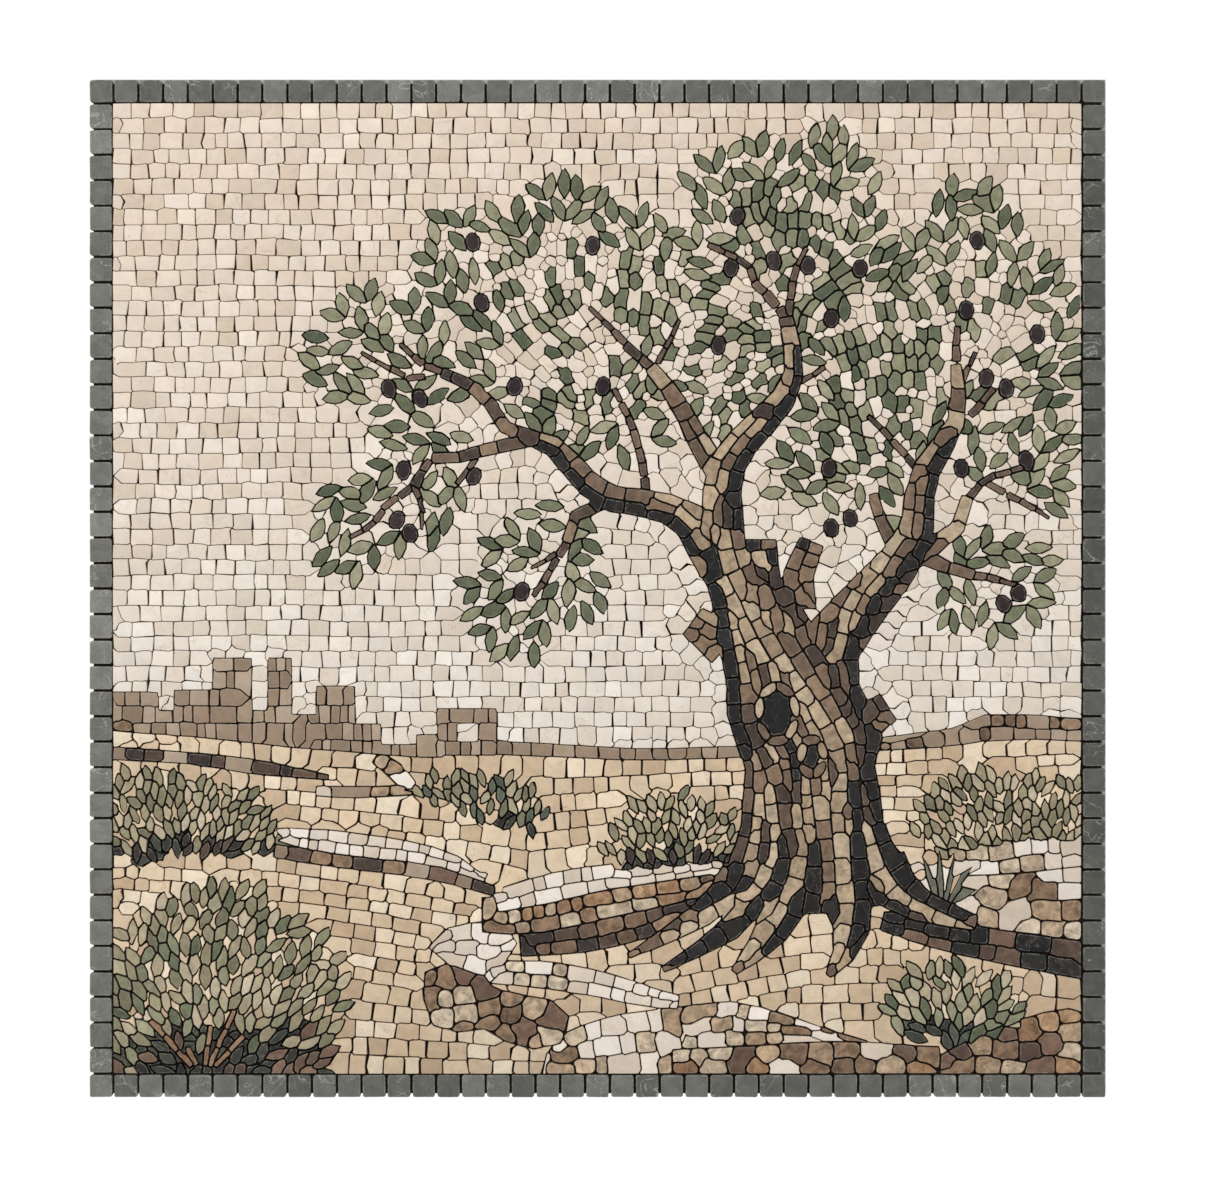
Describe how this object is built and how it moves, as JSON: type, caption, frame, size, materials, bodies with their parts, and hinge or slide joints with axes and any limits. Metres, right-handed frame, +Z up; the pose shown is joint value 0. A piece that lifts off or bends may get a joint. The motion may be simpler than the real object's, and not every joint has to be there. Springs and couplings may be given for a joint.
{
  "type": "mosaic panel",
  "caption": "Square wall panel of hand-cut stone mosaic showing an olive tree on a dry slope with low ruins, inside a border of dark squared stones, on a thin setting bed.",
  "frame": {"origin": "middle of the stones' square on the flat back face, where the panel meets the wall", "axes": "the picture faces -Y, +X is to the right as one faces it, +Z is up, +Y points out of the back into the wall"},
  "size_m": [0.6112, 0.012, 0.6122],
  "materials": {
    "bed": "matt grey setting mortar with the print of a mesh on its back",
    "border_stone": "tumbled dark grey-green marble with pale veins",
    "cream_stone": "honed cream marble",
    "sand_stone": "honed sand-coloured limestone",
    "tan_stone": "rough tan and mottled travertine",
    "brown_stone": "honed dark brown marble",
    "taupe_stone": "honed taupe limestone",
    "bark_stone": "strips of black, brown and tan marble",
    "leaf_stone": "honed green marble",
    "sage_stone": "honed olive-sage marble"
  },
  "bodies": {
    "root": {"setting_bed": "bed", "border_top": "border_stone", "border_bottom": "border_stone", "border_left": "border_stone", "border_right": "border_stone", "trunk": "bark_stone", "bough_centre": "bark_stone", "bough_right": "bark_stone", "bough_left": "bark_stone", "bough_left_centre": "bark_stone", "crown_left_tip": "leaf_stone", "crown_left": "leaf_stone", "crown_left_low": "leaf_stone", "spray_left": "leaf_stone", "crown_centre": "leaf_stone", "crown_right_centre": "leaf_stone", "crown_right": "leaf_stone", "crown_right_low": "leaf_stone", "spray_right": "leaf_stone", "ruins": "taupe_stone", "gate_ruin": "taupe_stone", "horizon_left": "taupe_stone", "horizon_right": "taupe_stone", "bush_upper_left": "sage_stone", "bush_middle": "leaf_stone", "bush_by_trunk": "sage_stone", "bush_right": "sage_stone", "agave": "leaf_stone", "bush_lower_left": "leaf_stone", "bush_lower_right": "leaf_stone", "dark_course_left": "brown_stone", "ledge_left": "taupe_stone", "wall_foot": "brown_stone", "wall_top": "cream_stone", "ledge_upper": "cream_stone", "bank_tan": "tan_stone", "bank_dark": "brown_stone", "ledge_lower": "cream_stone", "path": "cream_stone", "boulders": "brown_stone", "rocks_front": "tan_stone", "terrace_front": "cream_stone", "terrace_right": "cream_stone", "root_course": "brown_stone", "rocks_right": "tan_stone", "rocks_lower_right": "tan_stone", "sand_1": "sand_stone", "sand_2": "sand_stone", "sand_3": "sand_stone", "sand_4": "sand_stone", "sand_5": "sand_stone", "sand_6": "sand_stone", "sky_1": "cream_stone", "sky_2": "cream_stone", "sky_3": "cream_stone", "sky_4": "cream_stone", "sky_5": "cream_stone"}
  },
  "joints": []
}
